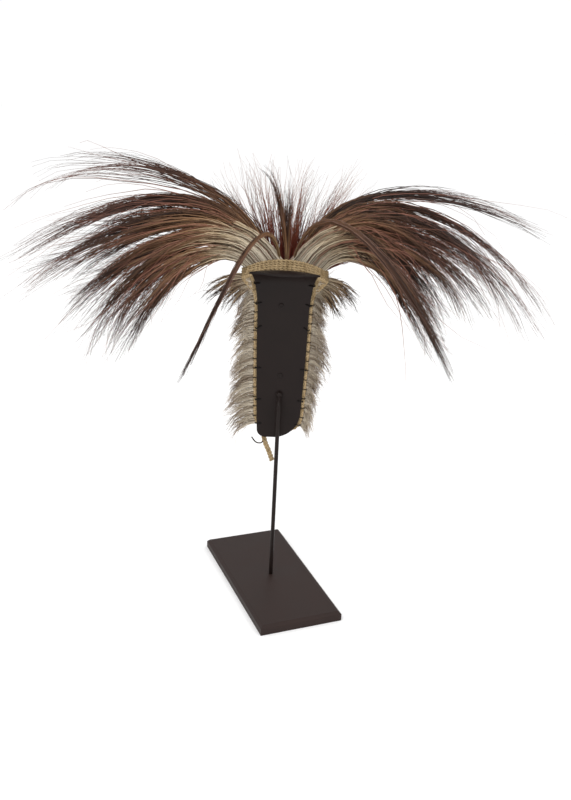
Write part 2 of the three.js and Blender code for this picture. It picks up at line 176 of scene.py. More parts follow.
# Where a tie starts in its hole, where it turns over as a share of its inset, and how near the edge
TIE_BENDS = {"hole": 0.3, "turn": 0.8, "edge": 0.5}
TIE_STATIONS = (13, 36, 66, 106, 129, 149)
TIE_SLANTS = (0, 0.5, 0, 2, 1, 0)
RIVETS = {"rivet_upper": (126, -2), "rivet_lower": (59, 0)}
# A rivet head's section: height off the plate and radius, with a hollow in its middle
RIVET_SECTION = [(0, 2.2), (0.5, 2.2), (0.8, 1.95), (0.75, 1.4), (0.2, 0.9), (0.15, 0.2)]
RIVET_LIFT = 0.1

# How finely the pieces are drawn, and how their edges are softened
BEZIER_STEPS, ROUTE_STEPS = 80, 8
METAL_SIDES = 28
PLATE_GRID = {"corner_rows": 22, "after_corner": 2, "rows": 70, "columns": 25}
ROD_STEPS = {"straight": 12, "elbow": 13, "beyond": 8, "ball": 15}
MAT_GRID = {"rows": 70, "crown": 34, "tail": 10, "least": 12, "core_rows": 60, "core_columns": 17}
LOOP_EASE = 2
TUBE_DOME = 0.3
FOOT_EDGE, PLATE_EDGE = {"width": 0.5, "angle": 20}, {"width": 0.45, "angle": 40}
EDGE_STEPS = 3
# Sizes of the finishes' patterns. Real bast fibres are finer than this, and wouldn't show
BLOOM_MM = 34
PATCH_MM, FIBRE_MM, GROOVE_MM = 6, 0.7, 0.3


# Where things are on the plate

def smoothstep(x, low, high):
    t = np.clip((x - low) / (high - low), 0, 1)
    return t * t * (3 - 2 * t)


def unit(v):
    return v / np.maximum(np.linalg.norm(v, axis=-1, keepdims=True), 1e-9)


def profile_at(station):
    """The side view's y, z and lean in radians at a station up the plate."""
    y, z, lean = PROFILE_START["y"], PROFILE_START["z"], math.radians(PROFILE_START["lean"])
    left = station
    for number, (length, end_lean) in enumerate(PROFILE_ARCS):
        radius = length / (math.radians(end_lean) - lean)
        run = left if number == len(PROFILE_ARCS) - 1 else min(left, length)
        end = lean + run / radius
        y += radius * (math.cos(end) - math.cos(lean))
        z += radius * (math.sin(end) - math.sin(lean))
        lean = end
        left -= run
    return y, z, lean


def plate_half(station):
    """Half width of the plate, which rounds out to its waist and flares from there to the lip."""
    waist = PLATE_HALF["waist_station"]
    if station < waist:
        share = math.sin(math.pi / 2 * station / waist)
        return PLATE_HALF["tail"] + share * (PLATE_HALF["waist"] - PLATE_HALF["tail"])
    share = ((station - waist) / (PLATE_LENGTH - waist)) ** PLATE_HALF["flare"]
    return PLATE_HALF["waist"] + share * (PLATE_HALF["lip"] - PLATE_HALF["waist"])


def on_plate(station, across, out):
    """The point at a station, across the width and out from the plate's hollow face."""
    y, z, lean = profile_at(station)
    share = min(abs(across) / plate_half(station), PLATE["trough_end"])
    depth = out - PLATE["trough"] * share**2
    return np.array([across, y + depth * math.cos(lean), z + depth * math.sin(lean)])


def mat_half(station, inset=0):
    """Half width of the mat, or of a line set in from its edge: round at the tail's corners."""
    corner = max(MAT_ENDS["corner"] - inset, 0)
    into = max(MAT_ENDS["tail"] + inset + corner - station, 0)
    full = plate_half(station) + MAT["border"] - inset
    full += MAT["flare"] * smoothstep(station, MAT["flare_start"], MAT_ENDS["crown"])
    return full - corner + math.sqrt(max(corner**2 - into**2, 0))


def crown_line(across, inset):
    """The station of the mat's crown end, or of a line set in from it, at a place across."""
    return MAT_ENDS["crown"] - inset - MAT_ENDS["bulge"] * (across / mat_half(MAT_ENDS["crown"])) ** 2


def on_mat(station, across, out):
    """A point on the mat, whose rows bow towards the tail at their ends near the crown."""
    bulge = MAT_ENDS["bulge"] * smoothstep(station, MAT["flare_start"], MAT_ENDS["crown"])
    return on_plate(station - bulge * (across / mat_half(station)) ** 2, across, out)


# Meshes

def scene_object(name, data):
    made = bpy.data.objects.new(name, data)
    bpy.context.scene.collection.objects.link(made)
    return made


def mesh_object(name, points, faces, smooth=True):
    mesh = bpy.data.meshes.new(name)
    mesh.from_pydata((np.asarray(points) * MM).tolist(), [], [list(face) for face in faces])
    mesh.polygons.foreach_set("use_smooth", [smooth] * len(mesh.polygons))
    return scene_object(name, mesh)


def set_vectors(made, name, vectors):
    layer = made.data.attributes.new(name, "FLOAT_VECTOR", "POINT")
    layer.data.foreach_set("vector", np.asarray(vectors, np.float32).ravel())


def grid_faces(rows, columns, closed=False):
    """The faces of a grid of points, row after row, its rows closed into rings if asked."""
    faces = []
    for row in range(rows - 1):
        for column in range(columns if closed else columns - 1):
            beside = (column + 1) % columns
            low, high = row * columns, (row + 1) * columns
            faces.append((low + column, low + beside, high + beside, high + column))
    return faces


def rings_closed(rings, ends):
    """Points and faces of a solid skinned over rings of points, with a middle point at each end."""
    count, sides = rings.shape[:2]
    points = np.vstack([rings.reshape(-1, 3), ends])
    faces = grid_faces(count, sides, closed=True)
    first, last, start = count * sides, count * sides + 1, (count - 1) * sides
    for side in range(sides):
        beside = (side + 1) % sides
        faces.append((first, beside, side))
        faces.append((last, start + side, start + beside))
    return points, faces


def carried_frames(path):
    """The tangent at each point of a path, with two directions square to it that don't twist."""
    tangents = unit(np.gradient(path, axis=0))
    side = unit(np.cross(tangents[0], [0.3, 0.9, 0.2]))
    sides = []
    for tangent in tangents:
        side = unit(side - tangent * np.dot(side, tangent))
        sides.append(side)
    sides = np.array(sides)
    return tangents, sides, np.cross(tangents, sides)


def circle(sides):
    turns = np.linspace(0, 2 * math.pi, sides, endpoint=False)
    return np.cos(turns)[:, None], np.sin(turns)[:, None]


def tube(path, radius, sides):
    """Points and faces of a round tube along a path, its ends a little domed."""
    path = np.asarray(path, float)
    tangents, across, up = carried_frames(path)
    cosines, sines = circle(sides)
    rings = path[:, None] + radius * (cosines * across[:, None] + sines * up[:, None])
    dome = TUBE_DOME * radius
    return rings_closed(rings, [path[0] - tangents[0] * dome, path[-1] + tangents[-1] * dome])


def turned(section, foot, axis, sides):
    """Points and faces of a section of heights and radii, turned about an axis from its foot."""
    across = unit(np.cross(axis, [0.3, 0.2, 0.9]))
    up = np.cross(axis, across)
    cosines, sines = circle(sides)
    rings = np.array([
        foot + height * axis + radius * (cosines * across + sines * up) for height, radius in section])
    return rings_closed(rings, [foot + section[0][0] * axis, foot + section[-1][0] * axis])


def joined(parts):
    """Points and faces of several shapes as one."""
    points, faces, offset = [], [], 0
    for part_points, part_faces in parts:
        points.append(part_points)
        faces += [tuple(corner + offset for corner in face) for face in part_faces]
        offset += len(part_points)
    return np.vstack(points), faces


def face_outwards(made):
    work = bmesh.new()
    work.from_mesh(made.data)
    bmesh.ops.recalc_face_normals(work, faces=work.faces)
    work.to_mesh(made.data)
    work.free()


def soften_edges(made, width, angle):
    bevel = made.modifiers.new("soft edges", "BEVEL")
    bevel.width = width * MM
    bevel.segments = EDGE_STEPS
    bevel.limit_method = "ANGLE"
    bevel.angle_limit = math.radians(angle)
    bevel.harden_normals = True


def place(made, slot, *nodes):
    """The piece rides on the model's one body and stands for its nodes; its slot is not used."""
    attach(made, "root")
    if nodes:
        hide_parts(*nodes)


# Curves

def row_between(rows, v):
    """The row at a place v from the first to the last, on a smooth line through them all."""
    rows = np.asarray(rows, float)
    here = v * (len(rows) - 1)
    start = min(int(here), len(rows) - 2)
    t = here - start
    before, after = max(start - 1, 0), min(start + 2, len(rows) - 1)
    a, b, c, d = rows[before], rows[start], rows[start + 1], rows[after]
    return 0.5 * (
        2 * b + (c - a) * t + (2 * a - 5 * b + 4 * c - d) * t**2 + (3 * b - a - 3 * c + d) * t**3)


def evenly(path, count):
    """The same line with its points evenly spaced."""
    run = np.concatenate([[0], np.cumsum(np.linalg.norm(np.diff(path, axis=0), axis=1))])
    wanted = np.linspace(0, run[-1], count)
    return np.stack([np.interp(wanted, run, path[:, k]) for k in range(3)], axis=1)


def smooth_route(points, count):
    shares = np.linspace(0, 1, ROUTE_STEPS * len(points))
    return evenly(np.array([row_between(points, v) for v in shares]), count)


def bezier(handles, count):
    t = np.linspace(0, 1, BEZIER_STEPS)[:, None]
    a, b, c, d = (np.asarray(handle, float) for handle in handles)
    return evenly((1 - t) ** 3 * a + 3 * (1 - t) ** 2 * t * b + 3 * (1 - t) * t**2 * c + t**3 * d, count)


def bow(half, u):
    """A half thickness that bows from the root through the middle to the tip."""
    root, middle, tip = half
    return (1 - u) ** 2 * root + 2 * (1 - u) * u * middle + u**2 * tip


# Node trees

def add(tree, kind, *values, **settings):
    """A node with its settings. Its inputs come in order, or by name in one dict: a value, a socket,
    a node for its first output, or None to leave the input alone."""
    node = tree.nodes.new(kind)
    for name, value in settings.items():
        setattr(node, name, value)
    if len(values) == 1 and isinstance(values[0], dict):
        pairs = [(node.inputs[name], value) for name, value in values[0].items()]
    else:
        pairs = list(zip([socket for socket in node.inputs if socket.enabled], values))
    for socket, value in pairs:
        if isinstance(value, bpy.types.Node):
            value = next(out for out in value.outputs if out.enabled)
        if isinstance(value, bpy.types.NodeSocket):
            tree.links.new(value, socket)
        elif value is not None:
            socket.default_value = value
    return node


def new_tree(name, kinds):
    """A modifier's node tree with named inputs, and its input sockets."""
    tree = bpy.data.node_groups.new(name, "GeometryNodeTree")
    tree.is_modifier = True
    for socket, kind in kinds.items():
        tree.interface.new_socket(socket, in_out="INPUT", socket_type="NodeSocket" + kind)
    tree.interface.new_socket("Made", in_out="OUTPUT", socket_type="NodeSocketGeometry")
    return tree, add(tree, "NodeGroupInput").outputs


def finish_tree(tree, solid, material):
    rounded = add(tree, "GeometryNodeSetShadeSmooth", solid)
    real = add(tree, "GeometryNodeRealizeInstances", rounded)
    add(tree, "NodeGroupOutput", add(tree, "GeometryNodeSetMaterial", real, None, material))
    return tree


def hair_tree():
    """Strands that follow a fan's surface from their roots, drawn into wisps and the wisps into locks."""
    tree, given = new_tree("hair on a fan", {
        "Fan": "Geometry", "Strands": "Int", "Rings": "Int", "Seed": "Int", "Locks": "Float",
        "Wisps": "Float", "Gather": "Float", "Wisp Gather": "Float", "Shortest": "Float",
        "Lock Reach": "Float", "Wander": "Float", "Frizz": "Float", "Strays": "Float",
        "Stray Reach": "Float", "Radius": "Float", "Tip": "Float", "Thin Share": "Float",
        "Thin Edge": "Float", "Dark Top": "Float", "Material": "Material",
    })
    line = add(tree, "GeometryNodeCurvePrimitiveLine")
    rings = add(tree, "GeometryNodeResampleCurve", line, None, given["Rings"])
    strands = add(tree, "GeometryNodeDuplicateElements", rings, None, given["Strands"], domain="SPLINE")
    hair = strands.outputs["Duplicate Index"]
    along = add(tree, "GeometryNodeSplineParameter")

    def eased(span, amount):
        """An amount that comes in smoothly between two shares of the strand's length."""
        return add(
            tree, "ShaderNodeMapRange", along, *span, 0.0, amount, interpolation_type="SMOOTHSTEP")

    def chance(number, salt):
        """Three random values for a number, the same on every run."""
        key = add(tree, "ShaderNodeCombineXYZ", number, given["Seed"], salt)
        noise = add(tree, "ShaderNodeTexWhiteNoise", key, noise_dimensions="3D")
        return add(tree, "ShaderNodeSeparateXYZ", noise.outputs["Color"]).outputs

    def swayed(number, speed, amount, power, salt):
        """A smooth sideways sway that grows towards the tip."""
        apart = add(tree, "ShaderNodeMath", number, SWAY_APART, operation="MULTIPLY")
        run = add(tree, "ShaderNodeMath", along, speed, operation="MULTIPLY")
        key = add(tree, "ShaderNodeCombineXYZ", apart, run, salt)
        noise = add(tree, "ShaderNodeTexNoise", key, 1.0, 1.0)
        centred = add(
            tree, "ShaderNodeVectorMath", noise.outputs["Color"], (0.5, 0.5, 0.5), operation="SUBTRACT")
        grows = add(tree, "ShaderNodeMath", along, power, operation="POWER")
        size = add(tree, "ShaderNodeMath", grows, amount, operation="MULTIPLY")
        return add(tree, "ShaderNodeVectorMath", centred, size, operation="SCALE")

    # Which lock and which wisp a strand is in, by where its root lies across the fan
    root, depth, length = chance(hair, 1.0)
    stray, tone, thickness = chance(hair, 2.0)
    locks_up = add(tree, "ShaderNodeMath", root, given["Locks"], operation="MULTIPLY")
    lock = add(tree, "ShaderNodeMath", locks_up, operation="FLOOR")
    wisps = add(tree, "ShaderNodeMath", given["Locks"], given["Wisps"], operation="MULTIPLY")
    wisps_up = add(tree, "ShaderNodeMath", root, wisps, operation="MULTIPLY")
    strays_by = add(tree, "ShaderNodeMapRange", stray, 0.0, 1.0, -0.5, 0.5)
    near = add(tree, "ShaderNodeMath", wisps_up, strays_by, operation="ADD")
    wisp = add(tree, "ShaderNodeMath", near, operation="FLOOR")
    lock_root, lock_depth, lock_hold = chance(lock, 3.0)
    wisp_depth, wisp_length, wisp_hold = chance(wisp, 4.0)
    wisp_tone = chance(wisp, 5.0)[0]
    lock_middle = add(tree, "ShaderNodeMapRange", lock_root, 0.0, 1.0, *LOCK_MIDDLE)
    lock_at = add(tree, "ShaderNodeMath", lock, lock_middle, operation="ADD")
    lock_place = add(tree, "ShaderNodeMath", lock_at, given["Locks"], operation="DIVIDE")
    wisp_at = add(tree, "ShaderNodeMath", wisp, 0.5, operation="ADD")
    wisp_place = add(tree, "ShaderNodeMath", wisp_at, wisps, operation="DIVIDE")

    # How far it closes up with them, across the fan and in depth, and how far it reaches
    wisp_grip = add(tree, "ShaderNodeMapRange", wisp_hold, 0.0, 1.0, LEAST_HOLD, 1.0)
    wisp_draw = eased(WISP_CLOSES, given["Wisp Gather"])
    to_wisp = add(tree, "ShaderNodeMath", wisp_draw, wisp_grip, operation="MULTIPLY")
    lock_grip = add(tree, "ShaderNodeMapRange", lock_hold, 0.0, 1.0, LEAST_HOLD, 1.0)
    lock_draw = eased(LOCK_CLOSES, given["Gather"])
    to_lock = add(tree, "ShaderNodeMath", lock_draw, lock_grip, operation="MULTIPLY")
    beside = add(tree, "ShaderNodeMix", to_wisp, root, wisp_place)
    beside = add(tree, "ShaderNodeMix", to_lock, beside, lock_place)
    out = add(tree, "ShaderNodeMix", to_wisp, depth, wisp_depth)
    to_depth = add(tree, "ShaderNodeMath", to_lock, DEPTH_SHARED, operation="MULTIPLY")
    out = add(tree, "ShaderNodeMix", to_depth, out, lock_depth)
    own_reach = add(tree, "ShaderNodeMapRange", length, 0.0, 1.0, given["Shortest"], 1.0)
    wisp_reach = add(tree, "ShaderNodeMapRange", wisp_length, 0.0, 1.0, given["Lock Reach"], 1.0)
    reach = add(tree, "ShaderNodeMath", own_reach, wisp_reach, operation="MULTIPLY")
    up = add(tree, "ShaderNodeMath", reach, along, operation="MULTIPLY")

    # Its place across the fan, with the thin share of the roots spread over the fan's thin edge, and
    # its colour's place along it, further on near the top
    thin_part = add(tree, "ShaderNodeMapRange", beside, 0.0, given["Thin Share"], 0.0, given["Thin Edge"])
    full_width = add(tree, "ShaderNodeMath", 1.0, given["Thin Edge"], operation="SUBTRACT")
    full_part = add(tree, "ShaderNodeMapRange", beside, given["Thin Share"], 1.0, 0.0, full_width)
    across = add(tree, "ShaderNodeMath", thin_part, full_part, operation="ADD")
    dark_start, dark_end = [
        add(tree, "ShaderNodeMath", given["Thin Share"], fade, operation="ADD") for fade in DARK_FADES]
    darker = add(tree, "ShaderNodeMapRange", root, dark_start, dark_end, given["Dark Top"], 0.0)
    colour_along = add(tree, "ShaderNodeMix", COLOUR_BY_STRAND, up, along)
    seen_along = add(tree, "ShaderNodeMath", colour_along, darker, operation="ADD")

    # The strand's points on the fan, moved off its surface by their depth
    held = [add(tree, "ShaderNodeClamp", value, *ON_FAN) for value in (up, across)]
    at = add(tree, "ShaderNodeCombineXYZ", *held)
    fan_at = add(tree, "GeometryNodeInputNamedAttribute", "fan", data_type="FLOAT_VECTOR")
    off = add(tree, "GeometryNodeInputNamedAttribute", "off", data_type="FLOAT_VECTOR")
    middle, off_here = [
        add(tree, "GeometryNodeSampleUVSurface", given["Fan"], value, fan_at, at, data_type="FLOAT_VECTOR")
        for value in (add(tree, "GeometryNodeInputPosition"), off)]
    side_of = add(tree, "ShaderNodeMapRange", out, 0.0, 1.0, -1.0, 1.0)
    moved = add(tree, "ShaderNodeVectorMath", off_here, side_of, operation="SCALE")
    point = add(tree, "ShaderNodeVectorMath", middle, moved, operation="ADD")

    # Sways of locks, wisps, strands and strays: whose, how often they bend, how far, how late, a salt
    is_stray = add(tree, "ShaderNodeMath", stray, given["Strays"], operation="LESS_THAN")
    stray_amount = add(tree, "ShaderNodeMath", is_stray, given["Stray Reach"], operation="MULTIPLY")
    wisp_amount = add(tree, "ShaderNodeMath", given["Wander"], WISP_WANDER, operation="MULTIPLY")
    for sway in (
        swayed(lock, 1.1, given["Wander"], 1.6, 5.0),
        swayed(wisp, 1.6, wisp_amount, 1.6, 7.0),
        swayed(hair, 2.6, given["Frizz"], 1.3, 9.0),
        swayed(hair, 0.7, stray_amount, 1.8, 17.0),
    ):
        point = add(tree, "ShaderNodeVectorMath", point, sway, operation="ADD")

    # What the hair's material reads, and the strand's thickness
    placed = add(tree, "GeometryNodeSetPosition", strands, None, point)
    for name, value in (
        ("along", seen_along),
        ("tone", add(tree, "ShaderNodeMix", TONE_BY_WISP, tone, wisp_tone)),
        ("stray", is_stray),
    ):
        placed = add(tree, "GeometryNodeStoreNamedAttribute", placed, None, name, value, domain="POINT")
    taper = add(
        tree, "ShaderNodeMapRange", along, TAPER_START, 1.0, 1.0, given["Tip"],
        interpolation_type="SMOOTHSTEP")
    thicker = add(tree, "ShaderNodeMapRange", thickness, 0.0, 1.0, *THICKNESS)
    at_root = add(tree, "ShaderNodeMath", given["Radius"], thicker, operation="MULTIPLY")
    radius = add(tree, "ShaderNodeMath", at_root, taper, operation="MULTIPLY")
    sized = add(tree, "GeometryNodeSetCurveRadius", placed, None, radius)
    section = add(tree, "GeometryNodeCurvePrimitiveCircle", STRAND_SIDES, 1.0)
    scale = add(tree, "GeometryNodeInputRadius")
    return finish_tree(
        tree, add(tree, "GeometryNodeCurveToMesh", sized, section, scale, True), given["Material"])


def twined_cord_tree():
    """A two-ply cord along each closed loop of edges: a flattened section that turns as it goes."""
    tree, given = new_tree("twined cord", {
        "Loops": "Geometry", "Twist": "Float", "Radius": "Float", "Flat": "Float", "Sides": "Int",
        "Material": "Material",
    })
    curve = add(tree, "GeometryNodeMeshToCurve", given["Loops"])
    length = add(tree, "GeometryNodeSplineLength")
    turns = add(tree, "ShaderNodeMath", length, given["Twist"], operation="DIVIDE")
    whole = add(tree, "ShaderNodeMath", turns, operation="ROUND")
    around = add(tree, "ShaderNodeMath", whole, 2 * math.pi, operation="MULTIPLY")
    factor = add(tree, "GeometryNodeSplineParameter")
    tilt = add(tree, "ShaderNodeMath", around, factor, operation="MULTIPLY")
    turned_curve = add(tree, "GeometryNodeSetCurveTilt", curve, None, tilt)
    ring = add(tree, "GeometryNodeCurvePrimitiveCircle", given["Sides"], given["Radius"])
    wide = add(tree, "ShaderNodeMath", 1.0, given["Flat"], operation="ADD")
    narrow = add(tree, "ShaderNodeMath", 1.0, given["Flat"], operation="SUBTRACT")
    shares = add(tree, "ShaderNodeCombineXYZ", wide, narrow, 1.0)
    here = add(tree, "GeometryNodeInputPosition")
    pressed = add(tree, "ShaderNodeVectorMath", here, shares, operation="MULTIPLY")
    section = add(tree, "GeometryNodeSetPosition", ring, None, pressed)
    solid = add(tree, "GeometryNodeCurveToMesh", {
        "Curve": turned_curve, "Profile Curve": section, "Fill Caps": True})
    return finish_tree(tree, solid, given["Material"])


def grown(name, base, tree, inputs):
    """The plain mesh that a node tree makes from a base object, which is then removed."""
    modifier = base.modifiers.new(tree.name, "NODES")
    modifier.node_group = tree
    identifiers = {
        item.name: item.identifier
        for item in tree.interface.items_tree if item.in_out == "INPUT"
    }
    for key, value in inputs.items():
        modifier[identifiers[key]] = value
    bpy.context.view_layer.update()
    evaluated = base.evaluated_get(bpy.context.evaluated_depsgraph_get())
    mesh = bpy.data.meshes.new_from_object(evaluated)
    mesh.name = name
    made = scene_object(name, mesh)
    bpy.data.objects.remove(base)
    return made


# Finishes

def linear(hex_colour):
    """An sRGB hex colour as the linear one that a socket takes."""
    parts = [int(hex_colour[i:i + 2], 16) / 255 for i in (1, 3, 5)]
    return (*[c / 12.92 if c <= 0.04045 else ((c + 0.055) / 1.055) ** 2.4 for c in parts], 1.0)


def fill_band(band, stops):
    """Sets a colour ramp's stops, each a place from 0 to 1 and a colour."""
    elements = band.color_ramp.elements
    while len(elements) < len(stops):
        elements.new(0.5)
    for element, (position, colour) in zip(elements, stops):
        element.position = position
        element.color = linear(colour)


def new_material(name):
    made = bpy.data.materials.new(name)
    made.use_nodes = True
    made.node_tree.nodes.clear()
    return made, made.node_tree


def hair_material(name, stops, dark, stray):
    """Hair in its natural colours or dyed: each strand is coloured from its root to its tip, with its
    own depth of colour, and strays in a tint of their own. It gives the eye fine streaks and a dull
    sheen on the strands."""
    made, tree = new_material(name)
    along, tone, is_stray = [
        add(tree, "ShaderNodeAttribute", attribute_name=attribute).outputs["Fac"]
        for attribute in ("along", "tone", "stray")]
    shift = add(tree, "ShaderNodeMapRange", tone, 0.0, 1.0, -TONE_SHIFT, TONE_SHIFT)
    place_along = add(tree, "ShaderNodeMath", along, shift, operation="ADD")
    colour = add(tree, "ShaderNodeValToRGB", place_along)
    fill_band(colour, stops)
    depth = add(tree, "ShaderNodeMapRange", tone, 0.35, 0.8, 0.0, 0.9)
    deep = add(tree, "ShaderNodeMix", depth, colour, linear(dark), data_type="RGBA", blend_type="MULTIPLY")
    fly_share = add(tree, "ShaderNodeMath", is_stray, STRAY_SHARE, operation="MULTIPLY")
    fly = add(tree, "ShaderNodeMix", fly_share, deep, linear(stray), data_type="RGBA")
    shader = add(tree, "ShaderNodeBsdfPrincipled", {
        "Base Color": fly, "Roughness": 0.5, "Specular IOR Level": 0.3})
    add(tree, "ShaderNodeOutputMaterial", shader)
    return made


def painted_steel(name, base, worn, roughness, specular, peel_mm, peel_depth):
    """Sprayed satin paint over steel: a near black with a fine orange peel that breaks its sheen, and
    a paler bloom of handling in patches."""
    made, tree = new_material(name)
    where = add(tree, "ShaderNodeTexCoord").outputs["Object"]
    bloom = add(tree, "ShaderNodeTexNoise", {"Vector": where, "Scale": 1 / (BLOOM_MM * MM), "Detail": 4.0})
    share = add(tree, "ShaderNodeMapRange", bloom, 0.35, 0.75, 0.0, 0.5)
    mixed = add(tree, "ShaderNodeMix", share, linear(base), linear(worn), data_type="RGBA")
    peel = add(tree, "ShaderNodeTexNoise", {"Vector": where, "Scale": 1 / (peel_mm * MM), "Detail": 2.0})
    bump = add(tree, "ShaderNodeBump", {"Height": peel, "Strength": 0.35, "Distance": peel_depth * MM})
    sheen = add(tree, "ShaderNodeMapRange", bloom, 0.3, 0.7, roughness - 0.05, roughness + 0.07)
    shader = add(tree, "ShaderNodeBsdfPrincipled", {
        "Base Color": mixed, "Roughness": sheen, "Normal": bump, "Specular IOR Level": specular})
    add(tree, "ShaderNodeOutputMaterial", shader)
    return made


def twined_fibre(name, pale, deep, groove_shade_colour):
    """Bast fibre twined into cord, waxed thread, or a strip of hide: a dull, finely grained surface,
    lighter and darker from stretch to stretch, with painted shade darkening the grooves between the fibres."""
    made, tree = new_material(name)
    where = add(tree, "ShaderNodeTexCoord").outputs["Object"]
    patches = add(tree, "ShaderNodeTexNoise", {"Vector": where, "Scale": 1 / (PATCH_MM * MM), "Detail": 3.0})
    colour = add(tree, "ShaderNodeValToRGB", patches)
    fill_band(colour, [(0.28, deep), (0.5, pale), (0.72, pale)])
    fibres = add(
        tree, "ShaderNodeTexNoise", {"Vector": where, "Scale": 1 / (FIBRE_MM * MM), "Detail": 3.0})
    # Painted shade: the colour darkens towards the groove shade colour where the fibre bump is low, in its
    # grooves
    groove_shade_share = add(tree, "ShaderNodeMapRange", fibres, 0.35, 0.6, 0.7, 0.0)
    mixed = add(tree, "ShaderNodeMix", groove_shade_share, colour, linear(groove_shade_colour), data_type="RGBA")
    bump = add(tree, "ShaderNodeBump", {"Height": fibres, "Strength": 0.6, "Distance": GROOVE_MM * MM})
    shader = add(tree, "ShaderNodeBsdfPrincipled", {
        "Base Color": mixed, "Roughness": 0.85, "Normal": bump, "Specular IOR Level": 0.2})
    add(tree, "ShaderNodeOutputMaterial", shader)
    return made


FOOT_PAINT = painted_steel("satin painted steel foot", "#2b201d", "#362a27", 0.5, 0.15, 0.9, 0.05)
PLATE_PAINT = painted_steel("satin painted steel plate", "#1b1412", "#241b19", 0.36, 0.14, 0.6, 0.03)
# Each fibre's last colour is the painted shade in the grooves between its fibres
TAN_CORD = twined_fibre("twined bast fibre", "#b8a07a", "#937c58", "#483826")
BLACK_THREAD = twined_fibre("waxed black thread", "#171210", "#120e0d", "#0a0808")
THONG_HIDE = twined_fibre("dark hide thong", "#3a2a1e", "#2a1e16", "#150f0b")
PLUME_HAIR = hair_material(
    "porcupine guard hair",
    [(0.0, "#e2d7c3"), (0.2, "#cdb999"), (0.36, "#94704f"), (0.6, "#694a36"), (0.8, "#4a3227"),
     (1.0, "#74544a")],
    "#4a3a32", "#a06a58")
LOCK_HAIR = hair_material(
    "darker guard hair",
    [(0.0, "#8f7554"), (0.12, "#79563a"), (0.5, "#543625"), (0.8, "#4f382d"), (1.0, "#43302a")],
    "#6b5a50", "#8a6a5c")
FRINGE_HAIR = hair_material(
    "soft grey fringe hair",
    [(0.0, "#e0d5c2"), (0.4, "#cfc2ac"), (0.65, "#b3a08a"), (0.85, "#957c68"), (1.0, "#a08e7c")],
    "#8a7666", "#c0b2a2")
UNDER_HAIR = hair_material(
    "dark tipped fringe hair",
    [(0.0, "#c2b298"), (0.4, "#9a8062"), (0.7, "#503a2b"), (1.0, "#2e2019")],
    "#6b5a50", "#8a6a5c")
DYED_HAIR = hair_material(
    "hair dyed red",
    [(0.0, "#6e2413"), (0.3, "#7a3823"), (0.55, "#8a543c"), (1.0, "#96664e")],
    "#6e5248", "#a87462")


# Camera, then the cord

def photo_camera():
    made = scene_object("camera", bpy.data.cameras.new("camera"))
    made.data.sensor_width = SENSOR_MM
    made.data.lens = PHOTO["focal_px"] * SENSOR_MM / PHOTO["height"]
    down, roll = math.radians(CAMERA["down"]), math.radians(CAMERA["roll"])
    forward = np.array([0, math.cos(down), -math.sin(down)])
    level, above = np.array([1.0, 0, 0]), np.array([0, math.sin(down), math.cos(down)])
    right = math.cos(roll) * level - math.sin(roll) * above
    up = math.sin(roll) * level + math.cos(roll) * above
    matrix = Matrix.Identity(4)
    for column, axis in enumerate((right, up, -forward)):
        for row in range(3):
            matrix[row][column] = axis[row]
    matrix.translation = [coordinate * MM for coordinate in CAMERA["place"]]
    made.matrix_world = matrix
    bpy.context.scene.camera = made


def tail_braid():
    """A three-strand plait along the tail cord's route, its strands swinging over each other."""
    route = np.array(TAIL_ROUTE, float)
    length = float(np.linalg.norm(np.diff(route, axis=0), axis=1).sum())
    path = smooth_route(TAIL_ROUTE, PLAIT["rings"])
    across, up = carried_frames(path)[1:]
    run = np.linspace(0, length, PLAIT["rings"])
    strands = []
    for number in range(3):
        turn = 2 * math.pi * (run / PLAIT["pitch"] + number / 3)
        swing = np.sin(turn)[:, None] * across * PLAIT["across"]
        over = np.sin(2 * turn)[:, None] * up * PLAIT["over"]
        strands.append(tube(path + swing + over, PLAIT["strand"], PLAIT["sides"]))
    made = mesh_object("tail_plait", *joined(strands))
    made.data.materials.append(TAN_CORD)
    place(made, "tan_fibre", "tail_braid")


photo_camera()
tail_braid()


# Stand

def stand_foot():
    """The steel foot: a block with its top edges chamfered, turned on the floor."""
    half_width, half_length = FOOT["width"] / 2, FOOT["length"] / 2
    levels = [(0, 0), (0, FOOT["height"] - FOOT["chamfer"]), (FOOT["chamfer"], FOOT["height"])]
    corners = [(-1, -1), (1, -1), (1, 1), (-1, 1)]
    points = [
        (x * (half_width - inset), y * (half_length - inset), z) for inset, z in levels for x, y in corners]
    turn = math.radians(FOOT["turn"])
    points = [
        (x * math.cos(turn) - y * math.sin(turn), x * math.sin(turn) + y * math.cos(turn), z)
        for x, y, z in points]
    faces = grid_faces(len(levels), 4, closed=True) + [(3, 2, 1, 0), (8, 9, 10, 11)]
    made = mesh_object("stand_foot", points, faces, smooth=False)
    face_outwards(made)
    soften_edges(made, **FOOT_EDGE)
    made.data.materials.append(FOOT_PAINT)
    place(made, "painted_foot", "stand_base")


def plate_edge(station, side):
    """The place across of the plate's edge on one side, which rounds in at its lower corner."""
    radius = PLATE["corner_left"] if side < 0 else PLATE["corner_right"]
    into = max(radius - station, 0)
    return side * (plate_half(station) - radius + math.sqrt(max(radius**2 - into**2, 0)))


